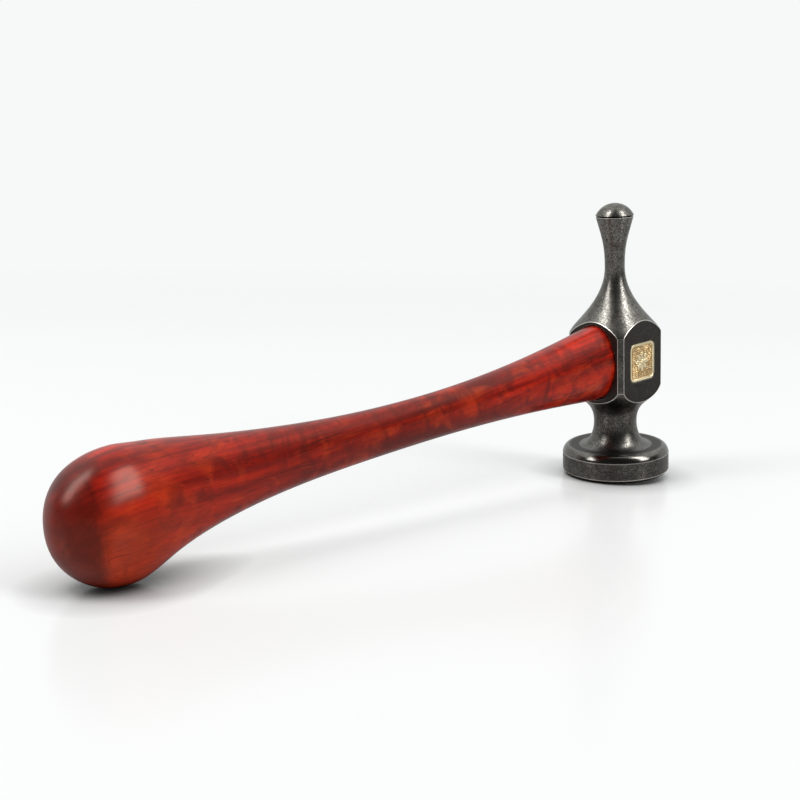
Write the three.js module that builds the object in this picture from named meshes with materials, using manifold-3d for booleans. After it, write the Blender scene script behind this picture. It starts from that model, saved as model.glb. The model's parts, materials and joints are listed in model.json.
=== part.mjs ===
// Leather craft hammer, in millimetres, +Z up, lying as it rests on a bench.
//
// The head is one piece of steel: a round striking foot, a waisted neck, an eye block with four
// ground flats and a slender peen with a domed end. The wooden handle's oval tenon goes through
// the eye and is spread there by a wooden wedge and a round steel one. A brass badge sits in a
// pocket on the cheek towards -Y. The hammer is made upright, with the head's axis on Z and the
// handle along -X, and then tipped until the foot's edge and the handle's bulb lie on the bench.

import * as THREE from "three";
import { mergeVertices } from "three/addons/utils/BufferGeometryUtils.js";
import Module from "manifold-3d";

const wasm = await Module();
wasm.setup();

// Fit between pieces, and how far a cutting shape runs past what it cuts
const fitGap = 0.3;
const overrun = 2;

// Striking foot: a disc with a broken lower edge and a rounded upper one
const footRadius = 16;
const footChamfer = 1;
const footWallHeight = 5.2;
const footEdgeRise = 2.2;
const footEdgeRound = 1.9;
const neckRootShare = 0.57;

// Neck: its waist above the foot, and its flare up to the block's round corners
const waistRadius = 6.4;
const neckLowerLength = 7.2;
const neckUpperLength = 11.25;
const neckWaistPullShare = 0.64;
const neckShoulderPullShare = 0.444;

// Eye block: half its width over the flats, and the round corners that stand out past them
const halfFlats = 10.25;
const cornerStand = 3.35;
const cornerLength = 16.3;
const shoulderTurn = THREE.MathUtils.degToRad(20);

// Peen: a taper from the block to its waist, a flare to the rim, a hairline groove and a dome,
// whose top is the head's
const headHeight = 81.4;
const peenWaistRadius = 2.95;
const peenShoulderPullShare = 0.174;
const peenTaperPullShare = 0.522;
const peenFlareLength = 14.7;
const peenFlarePullShare = 0.408;
const peenRimPullShare = 0.497;
const peenRimTurn = THREE.MathUtils.degToRad(16);
const peenRimRadius = 5.5;
const grooveDepth = 0.3;
const grooveWidth = 0.35;
const domeRadius = 5.6;
const domeHeight = 3.65;

// Eye through the block, and the shallow oval seat for the handle's shoulder
const eyeHalfWidth = 5.5;
const eyeHalfHeight = 8.5;
const eyeRise = 0.25;
const seatDepth = 1;

// Handle: oval all along, waisted behind the head, ending in a bulb that hangs below the grip.
// An oval of power 2 is an ellipse, and a greater power makes it squarer.
const handleLength = 174.7;
const shoulderOverlap = 2.85;
const shoulderPullShare = 0.076;
const gripAt = 72;
const gripHalfHeight = 6.05;
const gripForwardPullShare = 0.549;
const gripBackPullShare = 0.756;
const bulbHalfHeight = 15.25;
const bulbLength = 16.25;
const bulbPullShare = 0.073;
const bulbOvalPower = 2.18;
const buttSidePower = 2.1;
const buttPlanPower = 2.46;
const widthShare = 0.718;

// Handle's middle line, seen from the side: it drops to the grip and then again to the bulb
const gripDrop = 3.5;
const gripDropPullShare = 0.571;
const gripLevelAt = 105;
const gripLevelPullShare = 0.162;
const bulbDrop = 2.95;
const bulbDropPullShare = 0.952;
const bulbLevelBefore = 7.5;
const bulbLevelPullShare = 0.414;

// Tenon end, and the wedges that spread it in the eye
const tenonStand = 0.8;
const wedgeLength = 15;
const wedgeMouth = 2.6;
const wedgeTip = 0.8;
const ringRadius = 3.2;
const ringWall = 0.9;
const ringLength = 7;
const ringSink = 0.25;

// Badge: a rounded square with a raised border, let into the cheek
const badgeHalfSide = 5.65;
const badgeCornerRadius = 1.8;
const badgeThickness = 1.2;
const badgeBorder = 0.75;
const badgeFieldDepth = 0.3;
const badgeRise = 0.15;
const badgeSink = 0.05;

// Number of flat steps that stand for each round, and for each bend of the two outlines
const headSteps = 56;
const handleSteps = 40;
const ovalSteps = 16;
const ringSteps = 32;
const cornerSteps = 4;
const headBendSteps = { LineCurve: 1, CubicBezierCurve: 11, EllipseCurve: 6 };
const gripBendSteps = 9;
const bulbBendSteps = 13;
const buttSteps = 9;

// Heights on the head's axis, and places along the handle, from the sizes above
const footHeight = footChamfer + footWallHeight + footEdgeRise;
const waistHeight = footHeight + neckLowerLength;
const blockBottom = waistHeight + neckUpperLength;
const blockTop = blockBottom + cornerLength;
const domeBase = headHeight - domeHeight;
const peenRimHeight = domeBase - grooveWidth;
const peenWaistHeight = peenRimHeight - peenFlareLength;
const cornerRadius = halfFlats + cornerStand;
const blockMiddle = blockBottom + cornerLength / 2;
const eyeHeight = blockMiddle + eyeRise;
const shoulderHalfHeight = cornerLength / 2 + shoulderOverlap;
const buttAt = halfFlats + handleLength;
const bulbAt = buttAt - bulbLength;
const tenonEnd = halfFlats + tenonStand;

// Materials
const darkSteel = new THREE.MeshStandardMaterial({ color: "#4b4a46", roughness: 0.42, metalness: 1 });
const redWood = new THREE.MeshStandardMaterial({ color: "#8c2413", roughness: 0.34, metalness: 0 });
const wedgeWood = new THREE.MeshStandardMaterial({ color: "#a9743f", roughness: 0.6, metalness: 0 });
const brightSteel = new THREE.MeshStandardMaterial({ color: "#8f8e8a", roughness: 0.35, metalness: 1 });
const brass = new THREE.MeshStandardMaterial({ color: "#cdb271", roughness: 0.35, metalness: 1 });

// Closed solid of a geometry: its corners are shared, and triangles with no area are left out
function solidOf(geometry) {
  const bare = geometry.clone();
  bare.deleteAttribute("normal");
  bare.deleteAttribute("uv");
  const merged = mergeVertices(bare);
  const corners = merged.index.array;
  const triangles = [];
  for (let first = 0; first < corners.length; first += 3) {
    const [a, b, c] = corners.slice(first, first + 3);
    if (a !== b && b !== c && c !== a) {
      triangles.push(a, b, c);
    }
  }
  const mesh = new wasm.Mesh({
    numProp: 3,
    vertProperties: Float32Array.from(merged.attributes.position.array),
    triVerts: Uint32Array.from(triangles),
  });
  return new wasm.Manifold(mesh);
}

// Named mesh of a solid
function meshOf(name, solid, material) {
  const made = solid.getMesh();
  const geometry = new THREE.BufferGeometry();
  geometry.setAttribute("position", new THREE.BufferAttribute(made.vertProperties, 3));
  geometry.setIndex(new THREE.BufferAttribute(made.triVerts, 1));
  geometry.computeVertexNormals();
  const mesh = new THREE.Mesh(geometry, material);
  mesh.name = name;
  return mesh;
}

// Solid turned about Z from an outline of (radius, height) points that starts and ends on the axis.
// Half a step of turn puts a flat of the round, and not a corner, towards each side.
function turned(outline, steps) {
  const geometry = new THREE.LatheGeometry(outline, steps, Math.PI / steps);
  geometry.rotateX(Math.PI / 2);
  return solidOf(geometry);
}

// Prism of a shape, from one x to another, with the shape's x along Y and its y along Z
function prismAlongX(shape, from, to, steps) {
  const geometry = new THREE.ExtrudeGeometry(shape, {
    depth: to - from,
    curveSegments: steps,
    bevelEnabled: false,
  });
  const acrossY = new THREE.Vector3(0, 1, 0);
  const upZ = new THREE.Vector3(0, 0, 1);
  const alongX = new THREE.Vector3(1, 0, 0);
  geometry.applyMatrix4(new THREE.Matrix4().makeBasis(acrossY, upZ, alongX));
  geometry.translate(from, 0, eyeHeight);
  return solidOf(geometry);
}

// Prism of a shape on the badge's cheek, between two depths behind the cheek's flat
function prismInCheek(shape, deep, shallow, steps) {
  const geometry = new THREE.ExtrudeGeometry(shape, {
    depth: deep - shallow,
    curveSegments: steps,
    bevelEnabled: false,
  });
  const acrossX = new THREE.Vector3(1, 0, 0);
  const upZ = new THREE.Vector3(0, 0, 1);
  const outwards = new THREE.Vector3(0, -1, 0);
  geometry.applyMatrix4(new THREE.Matrix4().makeBasis(acrossX, upZ, outwards));
  geometry.translate(0, deep - halfFlats, blockMiddle + badgeRise);
  return solidOf(geometry);
}

function oval(halfWidth, halfHeight) {
  const shape = new THREE.Shape();
  shape.absellipse(0, 0, halfWidth, halfHeight, 0, 2 * Math.PI);
  return shape;
}

function roundedSquare(halfSide, radius) {
  const shape = new THREE.Shape();
  const straight = halfSide - radius;
  shape.absarc(straight, straight, radius, 0, Math.PI / 2);
  shape.absarc(-straight, straight, radius, Math.PI / 2, Math.PI);
  shape.absarc(-straight, -straight, radius, Math.PI, 1.5 * Math.PI);
  shape.absarc(straight, -straight, radius, 1.5 * Math.PI, 2 * Math.PI);
  shape.closePath();
  return shape;
}

// Value between two at which a test turns from true to false, found by halving the stretch
// between them until it can't be halved again
function turningPoint(low, high, isBelow) {
  const middle = (low + high) / 2;
  if (middle <= low || middle >= high) {
    return high;
  }
  return isBelow(middle) ? turningPoint(middle, high, isBelow) : turningPoint(low, middle, isBelow);
}

// Height of a curve at a distance along it, for a curve whose x only grows
function heightOn(curve, along) {
  const share = turningPoint(0, 1, (tried) => curve.getPoint(tried).x < along);
  return curve.getPoint(share).y;
}

// Point at a distance from a corner, at an angle to the head's axis
function pulled(radius, height, turn, pull) {
  return new THREE.Vector2(radius + pull * Math.sin(turn), height + pull * Math.cos(turn));
}

// Side of the head from the striking face to the top of the dome, as (radius, height) points
function headOutline() {
  const footTopRadius = footRadius - footEdgeRound;
  const neckRootRadius = waistRadius + neckRootShare * (footTopRadius - waistRadius);
  const domeSphereRadius = (domeRadius ** 2 + domeHeight ** 2) / (2 * domeHeight);
  const domeAngle = Math.asin(domeRadius / domeSphereRadius);
  const taperLength = peenWaistHeight - blockTop;
  const outline = new THREE.Path();
  outline.moveTo(0, 0);
  outline.lineTo(footRadius - footChamfer, 0);
  outline.lineTo(footRadius, footChamfer);
  outline.lineTo(footRadius, footHeight - footEdgeRise);
  outline.absellipse(
    footTopRadius, footHeight - footEdgeRise, footEdgeRound, footEdgeRise, 0, Math.PI / 2);
  outline.lineTo(neckRootRadius, footHeight);
  outline.absellipse(
    neckRootRadius, waistHeight, neckRootRadius - waistRadius, neckLowerLength,
    1.5 * Math.PI, Math.PI, true);
  const neckShoulder = pulled(
    cornerRadius, blockBottom, shoulderTurn, -neckShoulderPullShare * neckUpperLength);
  outline.bezierCurveTo(
    waistRadius, waistHeight + neckWaistPullShare * neckUpperLength,
    neckShoulder.x, neckShoulder.y,
    cornerRadius, blockBottom);
  outline.lineTo(cornerRadius, blockTop);
  const peenShoulder = pulled(
    cornerRadius, blockTop, -shoulderTurn, peenShoulderPullShare * taperLength);
  outline.bezierCurveTo(
    peenShoulder.x, peenShoulder.y,
    peenWaistRadius, peenWaistHeight - peenTaperPullShare * taperLength,
    peenWaistRadius, peenWaistHeight);
  const rimLead = pulled(
    peenRimRadius, peenRimHeight, peenRimTurn, -peenRimPullShare * peenFlareLength);
  outline.bezierCurveTo(
    peenWaistRadius, peenWaistHeight + peenFlarePullShare * peenFlareLength,
    rimLead.x, rimLead.y,
    peenRimRadius, peenRimHeight);
  outline.lineTo(peenRimRadius - grooveDepth, peenRimHeight);
  outline.lineTo(peenRimRadius - grooveDepth, domeBase);
  outline.lineTo(domeRadius, domeBase);
  outline.absarc(
    0, headHeight - domeSphereRadius, domeSphereRadius,
    Math.PI / 2 - domeAngle, Math.PI / 2);
  return outline;
}

// The same outline as points, with enough steps on each bend, and its last point on the axis
function headPoints() {
  const points = [];
  for (const stretch of headOutline().curves) {
    points.push(...stretch.getPoints(headBendSteps[stretch.type]).slice(0, -1));
  }
  points.push(new THREE.Vector2(0, headHeight));
  return points;
}

// Steel head: turned, then given its flats, eye, seat and badge pocket
function makeHead() {
  const blank = turned(headPoints(), headSteps);
  const flatsReach = 2 * (footRadius + overrun);
  const cutBottom = waistHeight;
  const cutHeight = peenWaistHeight - waistHeight;
  const around = new THREE.BoxGeometry(flatsReach, flatsReach, cutHeight);
  const within = new THREE.BoxGeometry(2 * halfFlats, 2 * halfFlats, cutHeight + 2 * overrun);
  around.translate(0, 0, cutBottom + cutHeight / 2);
  within.translate(0, 0, cutBottom + cutHeight / 2);
  const outsideFlats = solidOf(around).subtract(solidOf(within));
  const eye = prismAlongX(
    oval(eyeHalfWidth, eyeHalfHeight), -halfFlats - overrun, halfFlats + overrun, ovalSteps);
  const seatOval = oval(
    shoulderHalfHeight * widthShare + fitGap, shoulderHalfHeight + fitGap);
  const seat = prismAlongX(seatOval, -halfFlats - overrun, seatDepth - halfFlats, ovalSteps);
  const pocketShape = roundedSquare(badgeHalfSide + fitGap, badgeCornerRadius + fitGap);
  const pocketDepth = badgeSink + badgeThickness + fitGap;
  const pocket = prismInCheek(pocketShape, pocketDepth, -overrun, cornerSteps);
  const cut = blank.subtract(outsideFlats).subtract(eye).subtract(seat).subtract(pocket);
  return meshOf("head", cut, darkSteel);
}

// How far an oval stands out from its middle line, at a share of the way along it to its end
function standOut(share, power) {
  return (1 - share ** power) ** (1 / power);
}

// Coordinate of a point on a circle, moved out to an oval of that power round the same middle
function squarer(side, radius, power) {
  return Math.sign(side) * radius ** (1 - 2 / power) * Math.abs(side) ** (2 / power);
}

// Half the handle's height, from the face of its shoulder to the butt, as (half height, distance
// from the head's axis) points that start and end on the handle's middle line
function handlePoints() {
  const shoulderFace = halfFlats - seatDepth + fitGap;
  const gripPlace = halfFlats + gripAt;
  const gripToBulb = bulbAt - gripPlace;
  const toGrip = new THREE.CubicBezierCurve(
    new THREE.Vector2(shoulderHalfHeight, halfFlats),
    new THREE.Vector2(shoulderHalfHeight, halfFlats + shoulderPullShare * gripAt),
    new THREE.Vector2(gripHalfHeight, gripPlace - gripForwardPullShare * gripAt),
    new THREE.Vector2(gripHalfHeight, gripPlace));
  const toBulb = new THREE.CubicBezierCurve(
    new THREE.Vector2(gripHalfHeight, gripPlace),
    new THREE.Vector2(gripHalfHeight, gripPlace + gripBackPullShare * gripToBulb),
    new THREE.Vector2(bulbHalfHeight, bulbAt - bulbPullShare * gripToBulb),
    new THREE.Vector2(bulbHalfHeight, bulbAt));
  const butt = [];
  for (let step = 0; step < buttSteps; step += 1) {
    const share = Math.sin(0.5 * Math.PI * step / buttSteps);
    butt.push(new THREE.Vector2(
      bulbHalfHeight * standOut(share, buttSidePower), bulbAt + bulbLength * share));
  }
  return [
    new THREE.Vector2(0, shoulderFace),
    new THREE.Vector2(shoulderHalfHeight, shoulderFace),
    ...toGrip.getPoints(gripBendSteps).slice(0, -1),
    ...toBulb.getPoints(bulbBendSteps).slice(0, -1),
    ...butt,
    new THREE.Vector2(0, buttAt),
  ];
}

// Height of the handle's middle line at a distance from the head's axis
function handleLevel(along) {
  const levelAt = halfFlats + gripLevelAt;
  const bulbLevelAt = buttAt - bulbLevelBefore;
  const gripLevel = eyeHeight - gripDrop;
  const bulbLevel = gripLevel - bulbDrop;
  const levelToBulb = bulbLevelAt - levelAt;
  const toGrip = new THREE.CubicBezierCurve(
    new THREE.Vector2(halfFlats, eyeHeight),
    new THREE.Vector2(halfFlats + gripDropPullShare * gripLevelAt, gripLevel),
    new THREE.Vector2(levelAt - gripLevelPullShare * gripLevelAt, gripLevel),
    new THREE.Vector2(levelAt, gripLevel));
  const toBulb = new THREE.CubicBezierCurve(
    new THREE.Vector2(levelAt, gripLevel),
    new THREE.Vector2(levelAt + bulbDropPullShare * levelToBulb, gripLevel),
    new THREE.Vector2(bulbLevelAt - bulbLevelPullShare * levelToBulb, bulbLevel),
    new THREE.Vector2(bulbLevelAt, bulbLevel));
  if (along <= halfFlats) {
    return eyeHeight;
  }
  return heightOn(along < levelAt ? toGrip : toBulb, along);
}

// Handle's outside: a turning about its middle line, drawn in to an oval and bent to the line
function handleBody() {
  const geometry = new THREE.LatheGeometry(handlePoints(), handleSteps);
  const place = geometry.attributes.position;
  for (let corner = 0; corner < place.count; corner += 1) {
    const along = place.getY(corner);
    const radius = Math.hypot(place.getX(corner), place.getZ(corner));
    const blend = THREE.MathUtils.smoothstep(along, halfFlats, bulbAt);
    const power = THREE.MathUtils.lerp(2, bulbOvalPower, blend);
    const share = Math.max(along - bulbAt, 0) / bulbLength;
    const blunter = standOut(share, buttPlanPower) / standOut(share, buttSidePower);
    const across = squarer(place.getX(corner), radius, power) * widthShare;
    const up = handleLevel(along) + squarer(place.getZ(corner), radius, power);
    place.setXYZ(corner, -along, radius > 0 ? across * blunter : 0, up);
  }
  return solidOf(geometry);
}

// Tenon's oval prism, from inside the shoulder out past the far cheek
function tenonBlank() {
  const shape = oval(eyeHalfWidth - fitGap, eyeHalfHeight - fitGap);
  return prismAlongX(shape, -halfFlats - overrun, tenonEnd, ovalSteps);
}

// Wedge's tapered plate, upright in the eye: its mouth at the tenon's end and its tip inside
function wedgePlate(grow, mouthPlace) {
  const reach = eyeHalfHeight + overrun;
  const slope = (wedgeMouth - wedgeTip) / wedgeLength;
  const tipPlace = tenonEnd - wedgeLength - grow;
  const halfTip = wedgeTip / 2 + grow;
  const halfMouth = halfTip + slope * (mouthPlace - tipPlace) / 2;
  const plan = new THREE.Shape();
  plan.moveTo(tipPlace, -halfTip);
  plan.lineTo(mouthPlace, -halfMouth);
  plan.lineTo(mouthPlace, halfMouth);
  plan.lineTo(tipPlace, halfTip);
  plan.closePath();
  const geometry = new THREE.ExtrudeGeometry(plan, { depth: 2 * reach, bevelEnabled: false });
  geometry.translate(0, 0, eyeHeight - reach);
  return solidOf(geometry);
}

// Ring along X round the middle of the eye, between two radii and two places
function ringAlongX(inner, outer, from, to) {
  const outline = [
    new THREE.Vector2(inner, from),
    new THREE.Vector2(outer, from),
    new THREE.Vector2(outer, to),
    new THREE.Vector2(inner, to),
    new THREE.Vector2(inner, from),
  ];
  const geometry = new THREE.LatheGeometry(outline, ringSteps);
  geometry.rotateZ(-Math.PI / 2);
  geometry.translate(0, 0, eyeHeight);
  return solidOf(geometry);
}

// Slot that the ring wedge leaves in the wood round it
function ringSlot() {
  const bottom = tenonEnd - ringSink - ringLength - fitGap;
  const inner = ringRadius - ringWall - fitGap;
  return ringAlongX(inner, ringRadius + fitGap, bottom, tenonEnd + overrun);
}

// Wooden handle with its tenon, sawn for the wooden wedge and split by the round one
function makeHandle() {
  const kerf = wedgePlate(fitGap, tenonEnd + overrun);
  const wood = handleBody().add(tenonBlank()).subtract(kerf).subtract(ringSlot());
  return meshOf("handle", wood, redWood);
}

// Wooden wedge in the tenon's saw cut, trimmed to the tenon's oval
function makeWoodenWedge() {
  const wedge = wedgePlate(0, tenonEnd).intersect(tenonBlank()).subtract(ringSlot());
  return meshOf("wooden_wedge", wedge, wedgeWood);
}

// Round steel wedge, driven into the end of the tenon
function makeRingWedge() {
  const outerEnd = tenonEnd - ringSink;
  const ring = ringAlongX(ringRadius - ringWall, ringRadius, outerEnd - ringLength, outerEnd);
  return meshOf("ring_wedge", ring, brightSteel);
}

// Brass badge: a rounded square plate whose field is sunk inside a raised border
function makeBadge() {
  const bottom = badgeSink + badgeThickness;
  const plateShape = roundedSquare(badgeHalfSide, badgeCornerRadius);
  const fieldShape = roundedSquare(badgeHalfSide - badgeBorder, badgeCornerRadius - badgeBorder);
  const plate = prismInCheek(plateShape, bottom, badgeSink, cornerSteps);
  const field = prismInCheek(fieldShape, badgeSink + badgeFieldDepth, -overrun, cornerSteps);
  return meshOf("badge", plate.subtract(field), brass);
}

// Lowest point of an upright mesh once it is tipped down towards -X
function lowest(mesh, tip) {
  const place = mesh.geometry.attributes.position;
  let low = Infinity;
  for (let corner = 0; corner < place.count; corner += 1) {
    const height = place.getZ(corner) * Math.cos(tip) + place.getX(corner) * Math.sin(tip);
    low = Math.min(low, height);
  }
  return low;
}

// Tip at which the foot and the handle touch the bench together
function restingTip(head, handle) {
  const handleIsUp = (tip) => lowest(handle, tip) > lowest(head, tip);
  return turningPoint(0, Math.PI / 4, handleIsUp);
}

const head = makeHead();
const handle = makeHandle();
const hammer = new THREE.Group();
hammer.add(head, handle, makeWoodenWedge(), makeRingWedge(), makeBadge());
hammer.rotation.y = -restingTip(head, handle);

// The origin is the middle of the hammer's outer box, at the height of the bench
const resting = new THREE.Group();
resting.add(hammer);
const box = new THREE.Box3().setFromObject(resting, true);
const middle = box.getCenter(new THREE.Vector3());
hammer.position.set(-middle.x, -middle.y, -box.min.z);

export default resting;
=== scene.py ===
import json
import math

import bmesh
import bpy
import numpy as np
from mathutils import Matrix


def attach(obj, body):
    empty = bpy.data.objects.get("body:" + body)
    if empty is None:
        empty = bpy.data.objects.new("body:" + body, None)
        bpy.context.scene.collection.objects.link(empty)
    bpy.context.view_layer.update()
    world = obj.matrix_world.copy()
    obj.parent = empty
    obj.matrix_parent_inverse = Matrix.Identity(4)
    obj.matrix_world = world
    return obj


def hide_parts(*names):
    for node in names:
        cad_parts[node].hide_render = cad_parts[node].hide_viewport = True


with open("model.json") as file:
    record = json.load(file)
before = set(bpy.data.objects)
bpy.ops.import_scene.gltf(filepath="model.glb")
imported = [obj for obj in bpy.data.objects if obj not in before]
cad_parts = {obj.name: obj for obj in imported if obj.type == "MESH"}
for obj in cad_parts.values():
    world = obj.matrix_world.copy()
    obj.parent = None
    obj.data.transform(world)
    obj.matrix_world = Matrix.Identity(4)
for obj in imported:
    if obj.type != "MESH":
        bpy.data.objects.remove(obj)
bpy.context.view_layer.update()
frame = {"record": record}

# Camera: low, in front of the badge's cheek and to the left, with the bulb nearest and the head
# further off. A 54 mm lens on a 36 mm sensor gives the size of the far foot beside the near bulb.
camera_place = (-0.20935, -0.22417, 0.08463)
camera_turn = math.radians(-42.347)
camera_dip = math.radians(-9.828)
camera_roll = math.radians(1.263)

camera_data = bpy.data.cameras.new("camera")
camera_data.sensor_width = 36
camera_data.lens = 54.43
camera = bpy.data.objects.new("camera", camera_data)
camera.matrix_world = (
    Matrix.Translation(camera_place)
    @ Matrix.Rotation(camera_turn, 4, "Z")
    @ Matrix.Rotation(math.pi / 2 + camera_dip, 4, "X")
    @ Matrix.Rotation(camera_roll, 4, "Z")
)
bpy.context.scene.collection.objects.link(camera)
bpy.context.scene.camera = camera
bpy.context.scene.view_settings.view_transform = "Standard"

# Head: one turning of carbon steel, with four flats ground on its eye block, an oval eye and seat
# for the handle and a pocket for the badge. Tumbled with stones and blackened, which leaves a dark
# mottled grey skin and bare bright steel on every edge. Sizes here are in millimetres.
millimetre = 0.001
foot_radius = 16
foot_chamfer = 1
foot_wall_height = 5.2
foot_edge_rise = 2.2
foot_edge_round = 1.9
foot_edge_turn = math.radians(16)
neck_root_share = 0.57
waist_radius = 6.4
neck_lower_length = 7.2
neck_upper_length = 11.25
neck_waist_pull_share = 0.64
neck_shoulder_pull_share = 0.444
half_flats = 10.25
corner_stand = 3.35
corner_length = 16.3
shoulder_turn = math.radians(20)
head_height = 81.4
peen_waist_radius = 2.95
peen_shoulder_pull_share = 0.174
peen_taper_pull_share = 0.522
peen_flare_length = 14.7
peen_flare_pull_share = 0.408
peen_rim_pull_share = 0.497
peen_rim_turn = math.radians(16)
peen_rim_radius = 5.5
groove_depth = 0.3
groove_width = 0.35
dome_radius = 5.6
dome_height = 3.65
eye_half_width = 5.5
eye_half_height = 8.5
eye_rise = 0.25
seat_depth = 1
seat_gap = 0.3
shoulder_overlap = 2.85
width_share = 0.718
badge_half_side = 5.65
badge_corner_radius = 1.8
badge_thickness = 1.2
badge_rise = 0.15
badge_sink = 0.05
pocket_gap = 0.14
edge_width = 0.16
worn_width = 0.17
corner_wear = 0.7
wall_soot_and_shade = 0.3
neck_soot_and_shade = 0.2
groove_shade_margin = 0.1
mark_fade = 0.3

foot_height = foot_chamfer + foot_wall_height + foot_edge_rise
waist_height = foot_height + neck_lower_length
block_bottom = waist_height + neck_upper_length
block_top = block_bottom + corner_length
dome_base = head_height - dome_height
peen_rim_height = dome_base - groove_width
peen_waist_height = peen_rim_height - peen_flare_length
corner_radius = half_flats + corner_stand
block_middle = (block_bottom + block_top) / 2
eye_height = block_middle + eye_rise
shoulder_half_height = corner_length / 2 + shoulder_overlap

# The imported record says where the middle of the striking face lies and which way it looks
face = next(m for m in frame["record"]["mounts"] if m["name"] == "striking_face")
foot_centre = np.array(face["pos_m"])
head_up = -np.array(face["axis"]) / np.linalg.norm(face["axis"])
head_across = np.array([0.0, 1.0, 0.0])
hammer_axes = np.array([np.cross(head_across, head_up), head_across, head_up])


def to_row(points):
    """Points of the upright hammer, in millimetres, where the hammer lies, in metres: the middle
    of the striking face, plus each coordinate times its axis."""
    return foot_centre + (points @ hammer_axes) * millimetre


def bezier(start, first, second, end, steps=400):
    """Points of a cubic Bezier curve: the four given points in shares (1-t)^3, 3(1-t)^2 t,
    3(1-t) t^2 and t^3, for t from 0 to 1."""
    t = np.linspace(0, 1, steps + 1)[:, None]
    start, first, second, end = map(np.array, (start, first, second, end))
    return (1 - t) ** 3 * start + 3 * (1 - t) ** 2 * t * first + 3 * (1 - t) * t**2 * second + t**3 * end


def arc(centre, reach, start_turn, end_turn, steps=200):
    """Points of an ellipse's arc: the centre plus each half axis times the turn's cosine or sine."""
    turn = np.linspace(start_turn, end_turn, steps + 1)[:, None]
    return np.array(centre) + np.array(reach) * np.hstack([np.cos(turn), np.sin(turn)])


def smooth_min(a, b, width):
    """Lesser of a and b, rounded off where they differ by less than width: less h * h * width / 4,
    where h is the share of the width that is left between them."""
    h = np.clip(1 - np.abs(a - b) / width, 0, None)
    return np.minimum(a, b) - h * h * width / 4


def paced(outline, stride, turn, softness):
    """An outline of (radius, height) points with its corners softened, and how worn and how dark
    each is. It is cut into fine equal steps, each averaged with its neighbours under a bell curve,
    and then walked with one point for each stride of length or turn of direction. Outward corners
    are worn, and inward ones are darkened, part soot and part painted shade, by how far the
    direction turns in a millimetre."""
    fine = 0.02
    full_bend, slight_bend_share = 1.2, 0.4
    lengths = np.concatenate([[0], np.cumsum(np.hypot(*np.diff(outline, axis=0).T))])
    even = np.append(np.arange(0, lengths[-1], fine), lengths[-1])
    points = np.column_stack([np.interp(even, lengths, side) for side in outline.T])
    half = int(4 * softness / fine)
    bell = np.exp(-0.5 * (np.arange(-half, half + 1) * fine / softness) ** 2)
    padded = np.pad(points, ((half, half), (0, 0)), mode="reflect", reflect_type="odd")
    soft = np.column_stack([np.convolve(side, bell / bell.sum(), "valid") for side in padded.T])
    bend = np.gradient(np.unwrap(np.arctan2(*np.gradient(soft, axis=0).T[::-1])))
    pace = np.concatenate([[0], np.cumsum(fine / stride + np.abs(bend[1:]) / turn)])
    chosen = np.linspace(0, pace[-1], int(pace[-1]) + 2)
    corner = bend / fine / full_bend
    worn = np.clip(corner - slight_bend_share, 0, 1)
    soot_and_shade = np.clip(-corner - slight_bend_share, 0, 1)
    return [np.interp(chosen, pace, values)[:, None] for values in (soft[:, 0], soft[:, 1], worn, soot_and_shade)]


# Outline of the foot and the lower neck, from the middle of the face, and of the peen's flare. The
# foot's upper edge is a quarter of an ellipse, less its first few degrees, so it meets the wall in
# a faint corner.
foot_top_radius = foot_radius - foot_edge_round
neck_root_radius = waist_radius + neck_root_share * (foot_top_radius - waist_radius)
edge_reach = foot_edge_round / math.cos(foot_edge_turn)
edge_fall = foot_edge_rise / (1 - math.sin(foot_edge_turn))
foot_outline = np.vstack([
    [(0, 0), (foot_radius - foot_chamfer, 0), (foot_radius, foot_chamfer)],
    arc((foot_top_radius, foot_height - edge_fall), (edge_reach, edge_fall), foot_edge_turn, math.pi / 2),
    arc((neck_root_radius, waist_height), (neck_root_radius - waist_radius, neck_lower_length),
        1.5 * math.pi, math.pi),
])
rim_lead = np.array([math.sin(peen_rim_turn), math.cos(peen_rim_turn)]) * peen_rim_pull_share
dome_sphere = (dome_radius**2 + dome_height**2) / (2 * dome_height)
peen_outline = np.vstack([
    bezier((peen_waist_radius, peen_waist_height),
           (peen_waist_radius, peen_waist_height + peen_flare_pull_share * peen_flare_length),
           np.array([peen_rim_radius, peen_rim_height]) - rim_lead * peen_flare_length,
           (peen_rim_radius, peen_rim_height)),
    [(peen_rim_radius - groove_depth, peen_rim_height), (peen_rim_radius - groove_depth, dome_base)],
    arc((0, head_height - dome_sphere), (dome_sphere, dome_sphere),
        math.pi / 2 - math.asin(dome_radius / dome_sphere), math.pi / 2),
])
stride, stride_turn = 0.7, math.radians(9)
foot_softness, peen_softness = 0.09, 0.05
foot_radii, foot_heights, foot_worn, foot_soot_and_shade = paced(foot_outline, stride, stride_turn, foot_softness)
peen_radii, peen_heights, peen_worn, peen_soot_and_shade = paced(peen_outline, stride, stride_turn, peen_softness)

# Handling has polished the foot's rounded rim and worn the corner where it meets the wall. The wall
# and the neck are darkened, part soot and part painted shade, and the ledge round the neck is as
# dull as the flats.
wall_top = foot_height - foot_edge_rise
on_rim = np.clip((foot_heights - wall_top) / mark_fade, 0, 1) * (foot_radii > foot_top_radius)
wall_corner = np.clip(1.4 - np.abs(foot_heights - wall_top) / worn_width, 0, 1)
foot_worn = np.maximum(foot_worn, corner_wear * wall_corner)
foot_worn = np.where(foot_radii > foot_top_radius, foot_worn, 0)
foot_soot_and_shade = np.maximum(foot_soot_and_shade, np.where(foot_heights < wall_top, wall_soot_and_shade, neck_soot_and_shade * (on_rim == 0)))
ledge_middle = (foot_top_radius + neck_root_radius) / 2
off_ledge = np.abs(foot_radii - ledge_middle) - (foot_top_radius - neck_root_radius) / 2
ledge = np.clip(-off_ledge / mark_fade, 0, 1) * (foot_heights > wall_top)
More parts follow.
